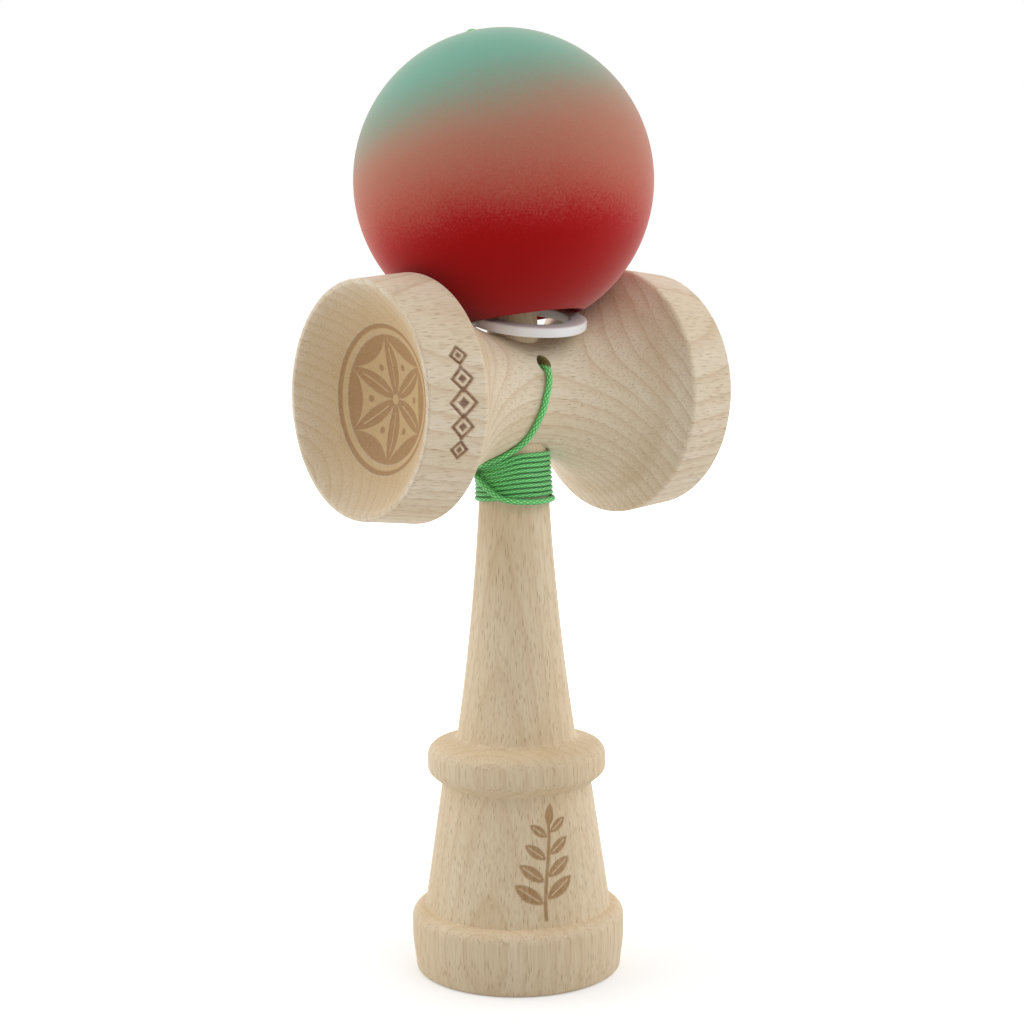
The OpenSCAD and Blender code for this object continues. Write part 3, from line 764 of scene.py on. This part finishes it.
ken = {
    "base": (21.7, 20.9, 13.0),  # radius of the rim, of its foot, and height
    "footRound": 0.8,
    "rimRounds": (12, 2.4),  # of its belly and of its top edge
    "coneFoot": 18.95,
    "coneRound": 0.25,
    "neck": 15.25,
    "neckRound": 0.5,
    "collar": (18.2, 38.6, 9.0),  # radius, height of its underside, its own height
    "collarSlope": 0.27,  # share of its height that the underside slopes over
    "collarDrop": 1.2,  # of its top, from the shaft out to the edge
    "collarRounds": (2.2, 2.8),
    "shaftFoot": 12.2,
    "shaftRound": 1.4,
    "spikeBelly": 0.62,
    "tip": (1.7, 166.0),
    "segments": 480,
    "steps": (1.0, 0.22),  # of the outline, plain and where it is engraved
    "cone": (13.4, 38, 14),  # where it is engraved: lowest, highest, and least radius
    "sprigDir": -109.0,  # degrees, where the engraving faces
    "sprigZ": 24.9,
    "sprigFoot": 13.6,
    "sprigWrapR": 17.0,
    "sprigDepth": 0.12,
    "sprigBurn": 0.66,
    "sprigSway": (0.8, 5.5),  # size and length of the stem's bends
    "stem": (0.32, 9.4),  # half its width and half its length
    "leafPairs": 4,
    "leafFirst": -7.4,
    "leafStep": 4.3,
    "leafOffset": 0.9,  # of one side's leaves above the other's
    "leafLength": 6.6,
    "leafShrink": 0.75,
    "leafWidth": 0.42,  # share of its length
    "leafLean": 54,
    "leafStalk": 0.5,
    "leafRib": (0.36, 0.13),  # half its length, as a share of the leaf's, and half its width
    "topLeaf": (8, 82, 2.0, 4.6, 1.9),  # height, lean, middle, length, width
}
markEdge = 0.12  # an engraved line's soft edge


def kenOutline():
    rim, foot, rimH = ken["base"]
    collarR, collarZ, collarH = ken["collar"]
    top = collarZ + collarH
    (lowR, lowZ), (highR, highZ) = toy["taperLow"], toy["taperHigh"]
    slope = (lowR - highR) / (highZ - lowZ)
    half = (lowZ - top) / 2
    tipR, tipZ = ken["tip"]
    shaft = bend((ken["shaftFoot"], top), (lowR + slope * half, lowZ - half), (lowR, lowZ))
    belly = ken["spikeBelly"]
    pull = (highR * belly + tipR * (1 - belly), highZ + (tipZ - highZ) * belly)
    spike = bend((highR, highZ), pull, (tipR, tipZ - tipR))
    tipAngles = np.linspace(0, math.pi / 2, 9)[1:-1]
    tip = [(tipR * math.cos(a), tipZ - tipR + tipR * math.sin(a)) for a in tipAngles]
    plain = [(r, h, 0) for r, h in dishArc(foot - ken["footRound"])]
    plain += [
        (foot, 0, ken["footRound"]),
        (rim, rimH / 2, ken["rimRounds"][0]),
        (rim, rimH, ken["rimRounds"][1]),
        (ken["coneFoot"], rimH, ken["coneRound"]),
        (ken["neck"], collarZ, ken["neckRound"]),
        (collarR, collarZ + collarH * ken["collarSlope"], ken["collarRounds"][0]),
        (collarR, top - ken["collarDrop"], ken["collarRounds"][1]),
        (ken["shaftFoot"], top, ken["shaftRound"]),
    ]
    plain += [(r, h, 0) for r, h in shaft[1:] + spike + tip]
    return rounded(plain + [(0, tipZ, 0)])


def sprig(co):
    # a leafy sprig, as if wrapped on the cone
    direction = math.radians(ken["sprigDir"])
    around = (np.arctan2(co[:, 1], co[:, 0]) - direction + math.pi) % (2 * math.pi) - math.pi
    radius = np.hypot(co[:, 0], co[:, 1])
    x, y = around * ken["sprigWrapR"], co[:, 2] - ken["sprigZ"]
    _, high, leastR = ken["cone"]
    on = (co[:, 2] > ken["sprigFoot"]) & (co[:, 2] < high) & (radius > leastR)
    bendSize, bendLength = ken["sprigSway"]
    stemHalf, stemReach = ken["stem"]
    far = np.maximum(np.abs(x - bendSize * np.sin(y / bendLength)) - stemHalf, np.abs(y + 1) - stemReach)
    ribReach, ribHalf = ken["leafRib"]
    for k in range(ken["leafPairs"]):
        length = ken["leafLength"] - ken["leafShrink"] * k
        for side in (-1, 1):
            rootY = ken["leafFirst"] + ken["leafStep"] * k + (ken["leafOffset"] if side > 0 else 0)
            rootX = bendSize * math.sin(rootY / bendLength)
            u, v = turned(x - rootX, y - rootY, 90 - side * ken["leafLean"])
            u = u - length / 2 - ken["leafStalk"]
            blade = leaf(u, v, length, length * ken["leafWidth"])
            rib = np.where(np.abs(u) < length * ribReach, np.abs(v) - ribHalf, 1)
            far = np.minimum(far, np.maximum(blade, -rib))
    topY, lean, middle, length, width = ken["topLeaf"]
    u, v = turned(x - bendSize * math.sin(topY / bendLength), y - topY, lean)
    far = np.minimum(far, leaf(u - middle, v, length, width))
    return np.where(on, ken["sprigBurn"] * smoothStep(markEdge, -markEdge, far), 0)


def radialIn(co):
    flat = co * (1, 1, 0)
    return -flat / np.maximum(np.linalg.norm(flat, axis=1), 1e-6)[:, None]


def onCone(point):
    low, high, leastR = ken["cone"]
    return low < point[1] < high and point[0] > leastR


def makeKen():
    outline = refined(kenOutline(), *ken["steps"], onCone)
    piece = lathe("handle", outline, ken["segments"])
    engrave(piece, ken["sprigDepth"], radialIn, sprig)
    crisp(piece)
    piece.data.materials.append(kenWood)
    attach(piece, "ken_body")
    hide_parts("ken")


makeKen()
print("handle turned")

# Cross piece

cross = {
    "bigLip": (24.35, 37.5),  # radius, distance from the handle's axis
    "bigEdge": (25.5, 26.0),
    "smallLip": (22.85, 37.9),
    "smallEdge": (24.2, 25.5),
    "lipRound": 0.4,
    "edgeRound": 1.2,
    "cordHoleR": 1.6,
    "cordHoleZ": 123.9,
    "cordHoleLength": 20,
    "seatGap": 0.05,
    "seatReach": 14,  # of the cutter, up and down from the cross piece's axis
    "segments": 600,
    "steps": (0.9, 0.25),  # of the outline, plain and where it is engraved
    "engravedTo": -26.5,  # along X
    "rosetteR": 12.4,
    "rosetteDepth": 0.12,
    "rosetteBurn": 0.6,
    "rosetteZone": (-27, 18),  # beyond this along X, and within this radius
    # shares of the rosette's radius
    "petalWidth": 0.268,
    "petalRib": 0.3,
    "outerPetal": 0.866,
    "dotPlace": 0.56,
    "ringPlace": 1.13,
    # and millimetres
    "petalRibHalf": 0.16,
    "dotR": 0.65,
    "eyeR": 1.0,
    "ringHalf": 0.42,
    "lozengeX": -30.6,
    "lozengeDepth": 0.15,
    "lozengeZone": (-37, -26.5, 22),  # between these along X, and outside this radius
    "lozengeStep": 4.5,
    "lozengeHalves": (1.15, 1.5, 1.9, 1.5, 1.15),
    "lozengeLine": 0.28,
    "lozengeFill": 0.42,  # share of its half
    "lozengeDot": 0.34,
    "lozengeEdge": 0.14,
}


def flare(edge):
    # the arc from the waist to a cup's edge, without its ends
    edgeR, edgeX = edge
    lift = edgeR - toy["waistR"]
    arc = (edgeX ** 2 + lift ** 2) / (2 * lift)
    return [(toy["waistR"] + arc - math.sqrt(arc ** 2 - x ** 2), x) for x in np.linspace(0, edgeX, 33)[1:-1]]


def crossOutline():
    (smallR, smallX), (bigR, bigX) = cross["smallLip"], cross["bigLip"]
    (smallEdgeR, smallEdgeX), (bigEdgeR, bigEdgeX) = cross["smallEdge"], cross["bigEdge"]
    points = [(r, -smallX + depth, 0) for r, depth in dishArc(smallR)]
    points += [(smallR, -smallX, cross["lipRound"]), (smallEdgeR, -smallEdgeX, cross["edgeRound"])]
    points += [(r, -x, 0) for r, x in flare(cross["smallEdge"])[::-1]] + [(toy["waistR"], 0, 0)]
    points += [(r, x, 0) for r, x in flare(cross["bigEdge"])]
    points += [(bigEdgeR, bigEdgeX, cross["edgeRound"]), (bigR, bigX, cross["lipRound"])]
    points += [(r, bigX - depth, 0) for r, depth in dishArc(bigR)[::-1]]
    return rounded(points)


def rosette(co):
    # six leaves from the middle and six between their tips, drawn with a compass
    x, y = co[:, 1], co[:, 2] - toy["crossZ"]
    size = cross["rosetteR"]
    width = size * cross["petalWidth"]
    span = np.hypot(x, y)
    beyond, widest = cross["rosetteZone"]
    on = (co[:, 0] < beyond) & (span < widest)
    far = np.full(len(co), 9.0)
    for k in range(6):
        a = 60 * k + 30
        u, v = turned(x, y, a)
        blade = leaf(u - size / 2, v, size, width)
        rib = np.where(np.abs(u - size / 2) < size * cross["petalRib"], np.abs(v) - cross["petalRibHalf"], 1)
        far = np.minimum(far, np.maximum(blade, -rib))
        u, v = turned(x, y, a + 30)
        far = np.minimum(far, leaf(v, u - size * cross["outerPetal"], size, width))
        far = np.minimum(far, np.hypot(u - size * cross["dotPlace"], v) - cross["dotR"])
    far = np.maximum(far, cross["eyeR"] - span)
    far = np.minimum(far, np.abs(span - size * cross["ringPlace"]) - cross["ringHalf"])
    return np.where(on, cross["rosetteBurn"] * smoothStep(markEdge, -markEdge, far), 0)


def rosetteIn(co):
    centre = np.array((-cross["smallLip"][1] - dishRise(cross["smallLip"][0]), 0, toy["crossZ"]))
    out = co - centre
    return out / np.linalg.norm(out, axis=1)[:, None]


def lozenges(co):
    # a row of five lozenges round the small cup's side, with a dot between each two
    y, z = co[:, 1], co[:, 2] - toy["crossZ"]
    around = np.arctan2(z, -y) * cross["smallEdge"][0]
    along = co[:, 0] - cross["lozengeX"]
    low, high, leastR = cross["lozengeZone"]
    on = (co[:, 0] < high) & (co[:, 0] > low) & (np.hypot(y, z) > leastR)
    far = np.full(len(co), 9.0)
    for k, half in zip(range(-2, 3), cross["lozengeHalves"]):
        step = around - cross["lozengeStep"] * k
        frameLine = (np.abs(along) + np.abs(step)) / math.sqrt(2)
        far = np.minimum(far, np.abs(frameLine - half) - cross["lozengeLine"])
        far = np.minimum(far, frameLine - half * cross["lozengeFill"])
    for k in (-1.5, -0.5, 0.5, 1.5):
        far = np.minimum(far, np.hypot(along, around - cross["lozengeStep"] * k) - cross["lozengeDot"])
    return np.where(on, smoothStep(cross["lozengeEdge"], -cross["lozengeEdge"], far), 0)


def lozengeIn(co):
    out = (co - (0, 0, toy["crossZ"])) * (0, 1, 1)
    return -out / np.maximum(np.linalg.norm(out, axis=1), 1e-6)[:, None]


def onSmallCup(point):
    return point[1] < cross["engravedTo"]


def makeCross():
    alongCups = Matrix.Translation((0, 0, toy["crossZ"])) @ Matrix.Rotation(math.pi / 2, 4, "Y")
    outline = refined(crossOutline(), *cross["steps"], onSmallCup)
    piece = lathe("cross_piece", outline, cross["segments"], alongCups)
    low, high = toy["crossZ"] - cross["seatReach"], toy["crossZ"] + cross["seatReach"]
    lowR, highR = taperRadius(low) + cross["seatGap"], taperRadius(high) + cross["seatGap"]
    seat = lathe("seat_cutter", [(0, low), (lowR, low), (highR, high), (0, high)], 128)
    sideways = Matrix.Translation((0, 0, cross["cordHoleZ"])) @ Matrix.Rotation(math.pi / 2, 4, "X")
    holeR, holeEnd = cross["cordHoleR"], cross["cordHoleLength"]
    hole = lathe("hole_cutter", [(0, 0), (holeR, 0), (holeR, holeEnd), (0, holeEnd)], 64, sideways)
    bored(piece, seat, hole)
    engrave(piece, cross["rosetteDepth"], rosetteIn, rosette)
    engrave(piece, cross["lozengeDepth"], lozengeIn, lozenges)
    crisp(piece)
    piece.data.materials.append(crossWood)
    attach(piece, "ken_body")
    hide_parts("sarado")


makeCross()
print("cross piece turned and bored")

# Ball

ball = {
    "mouthR": 12.4,
    "boreR": 11.5,
    "bevelH": 2.0,
    "holeR": 2.0,
    "sinkR": 3.6,
    "sinkH": 1.6,
    "segments": 256,
    "skinRings": 150,
    "boreRings": 30,
}


def makeBall():
    size = toy["ballR"]
    mouth = math.sqrt(size ** 2 - ball["mouthR"] ** 2)
    # where the countersink's cone leaves the sphere
    slope = (ball["sinkR"] - ball["holeR"]) / ball["sinkH"]
    topR = ball["sinkR"]
    for _ in range(20):
        topR = ball["holeR"] + slope * (math.sqrt(size ** 2 - topR ** 2) - (size - ball["sinkH"]))
    first, last = math.asin(topR / size), math.pi - math.asin(ball["mouthR"] / size)
    skin = np.linspace(first, last, ball["skinRings"])
    bore = np.linspace(ball["bevelH"] - mouth, toy["boreTop"], ball["boreRings"])
    outline = [(size * math.sin(a), size * math.cos(a)) for a in skin]
    outline += [(ball["boreR"], h) for h in bore]
    outline += [(ball["holeR"], toy["boreTop"]), (ball["holeR"], size - ball["sinkH"])]
    piece = lathe("ball", outline[::-1], ball["segments"], ballTurn, closed=True)
    crisp(piece)
    piece.data.materials.append(ballPaint)
    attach(piece, "tama_body")
    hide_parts("tama")


makeBall()
print("ball turned")

# Ring

ring = {
    "outR": 12.0,
    "holeR": 8.4,
    "thick": 2.0,
    "round": 0.45,
    "centre": (1.844, -2.302, 132.538),
    "pitch": 13.0,
    "roll": -3.7485,
    "segments": 192,
    "crease": 40,  # degrees, past which an edge is sharp
}


def makeRing():
    h = ring["thick"] / 2
    corners = [(ring["holeR"], 0, 0), (ring["holeR"], -h, ring["round"]), (ring["outR"], -h, ring["round"]),
               (ring["outR"], h, ring["round"]), (ring["holeR"], h, ring["round"]), (ring["holeR"], 0, 0)]
    place = (Matrix.Translation(ring["centre"]) @ Matrix.Rotation(math.radians(ring["roll"]), 4, "Y")
             @ Matrix.Rotation(math.radians(ring["pitch"]), 4, "X"))
    piece = lathe("loose_ring", rounded(corners)[:-1], ring["segments"], place, closed=True)
    crisp(piece, ring["crease"])
    piece.data.materials.append(ringPlastic)
    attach(piece, "ring_body")
    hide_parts("spacer_ring")


makeRing()
print("ring made")

# Floor and light, in metres

studio = {
    "floorSize": 4.0,
    "floorZ": -0.00002,
    "floorGrey": 0.74,
    "shadowReach": (0.05, 0.22),  # the floor's painted glow rises from its least to full between these distances
    "shadowGlow": 0.35,
    "towardsCamera": (-0.63, -0.77, 0.1),
    "tentFacing": (-0.5, 0.9),  # cosines of the angle to the camera's side
    "tentLevels": (1.05, 0.12),
    "aim": (0, 0, 0.1),
    "softboxSize": 0.7,
    "softboxes": {  # place and watts
        "side softbox": ((0.65, -0.4, 0.4), 1.0),
        "right softbox": ((0.05, -0.6, 0.65), 2.1),
        "left softbox": ((-0.5, 0.3, 0.45), 1.9),
    },
}


def backdropSeen(tree):
    # 1 for a ray that shows the backdrop itself, also in a reflection or through glass
    path = addNode(tree, "ShaderNodeLightPath")
    mirrored = addNode(tree, "ShaderNodeMath", {
        0: path.outputs["Is Glossy Ray"], 1: path.outputs["Is Transmission Ray"]}, operation="MAXIMUM")
    return addNode(tree, "ShaderNodeMath", {
        0: path.outputs["Is Camera Ray"], 1: mirrored}, operation="MAXIMUM")


def makeFloor():
    # White paper: matt, with a painted glow for rays that see it directly; the glow is weaker near the toy,
    # a painted dimming there so that its soft shadow shows, and plain white farther out
    half, z = studio["floorSize"] / 2 / mm, studio["floorZ"] / mm
    floor = addPiece("floor", [(-half, -half, z), (half, -half, z), (half, half, z), (-half, half, z)],
                     [[0, 1, 2, 3]], smooth=False)
    material, tree, shader = startMaterial("white paper sweep")
    coords = addNode(tree, "ShaderNodeTexCoord")
    span = addNode(tree, "ShaderNodeVectorMath", {0: coords.outputs["Object"]}, operation="LENGTH")
    fade = addNode(tree, "ShaderNodeMapRange", {
        "Value": span, "From Min": studio["shadowReach"][0], "From Max": studio["shadowReach"][1],
        "To Min": studio["shadowGlow"]}, interpolation_type="SMOOTHSTEP")
    glow = addNode(tree, "ShaderNodeMath", {0: backdropSeen(tree), 1: fade}, operation="MULTIPLY")
    fill(tree, shader, {
        "Base Color": grey(studio["floorGrey"]), "Roughness": 0.9,
        "Emission Color": grey(1.0), "Emission Strength": glow})
    floor.data.materials.append(material)


def makeWorld():
    # a light tent: white all round, dimmer where the camera stands
    world = bpy.data.worlds.new("light tent")
    scene.world = world
    world.use_nodes = True
    tree = world.node_tree
    coords = addNode(tree, "ShaderNodeTexCoord")
    facing = addNode(tree, "ShaderNodeVectorMath", {
        0: coords.outputs["Generated"], 1: Vector(studio["towardsCamera"]).normalized()},
        operation="DOT_PRODUCT")
    tent = addNode(tree, "ShaderNodeMapRange", {
        "Value": facing, "From Min": studio["tentFacing"][0], "From Max": studio["tentFacing"][1],
        "To Min": studio["tentLevels"][0], "To Max": studio["tentLevels"][1]},
        interpolation_type="SMOOTHSTEP")
    level = addNode(tree, "ShaderNodeMix", {
        mixShare: backdropSeen(tree), mixLow: tent, mixHigh: 1.0}, data_type="FLOAT")
    fill(tree, tree.nodes["Background"], {"Color": grey(1.0), "Strength": level})


def addLamp(name, place, power):
    data = bpy.data.lights.new(name, "AREA")
    data.energy = power
    data.size = studio["softboxSize"]
    lamp = bpy.data.objects.new(name, data)
    lamp.location = place
    lamp.rotation_euler = (Vector(studio["aim"]) - Vector(place)).to_track_quat("-Z", "Y").to_euler()
    scene.collection.objects.link(lamp)


makeFloor()
makeWorld()
for name, (place, power) in studio["softboxes"].items():
    addLamp(name, place, power)
scene.view_settings.view_transform = "Standard"
print("studio lit")
